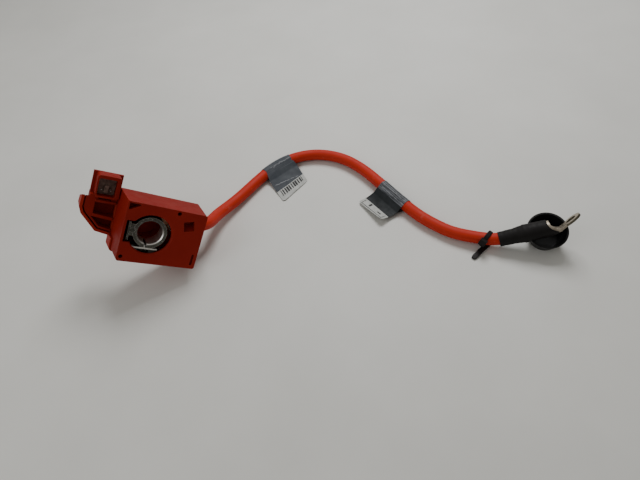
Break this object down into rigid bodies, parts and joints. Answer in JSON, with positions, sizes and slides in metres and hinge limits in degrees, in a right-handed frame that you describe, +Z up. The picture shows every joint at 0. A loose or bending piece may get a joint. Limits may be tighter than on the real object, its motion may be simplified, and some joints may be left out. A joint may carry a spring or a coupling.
{
  "type": "fused battery cable",
  "caption": "Fused battery cable: moulded post-clamp housing with a side connector, a short thick cable with label flags and a tie, and a bent ring lug resting in an open cap",
  "frame": {"origin": "bottom centre of the leaning housing's bounding box, cable not counted, on the surface that the cable lies on", "axes": "+X to the right along the cable's overall length, +Y away from the viewer, +Z up"},
  "size_m": [0.4021, 0.1574, 0.0926],
  "materials": {
    "red_housing": "matte",
    "grey_insert": "matte",
    "tinned_brass": "satin",
    "zinc_clamp": "satin",
    "plated_steel": "satin",
    "fuse_copper": "satin",
    "tinned_lug": "satin",
    "red_insulation": "satin",
    "label_film": "gloss",
    "black_nylon": "matte",
    "black_rubber": "matte"
  },
  "bodies": {
    "root": {"front_housing": "red_housing", "rear_cover": "red_housing", "connector_body": "red_housing", "connector_insert": "grey_insert", "left_contact_pin": "tinned_brass", "right_contact_pin": "tinned_brass", "post_clamp": "zinc_clamp", "tail_rivet": "plated_steel", "retaining_strip": "plated_steel", "clamp_bolt": "plated_steel", "clamp_nut": "plated_steel", "fuse_link": "fuse_copper", "inner_lug": "tinned_lug", "fuse_screw": "plated_steel", "fuse_nut": "plated_steel", "cable": "red_insulation", "near_label": "label_film", "far_label": "label_film", "cable_tie": "black_nylon", "heat_shrink": "black_rubber", "ring_lug": "tinned_lug", "terminal_cap": "black_rubber"}
  },
  "joints": []
}
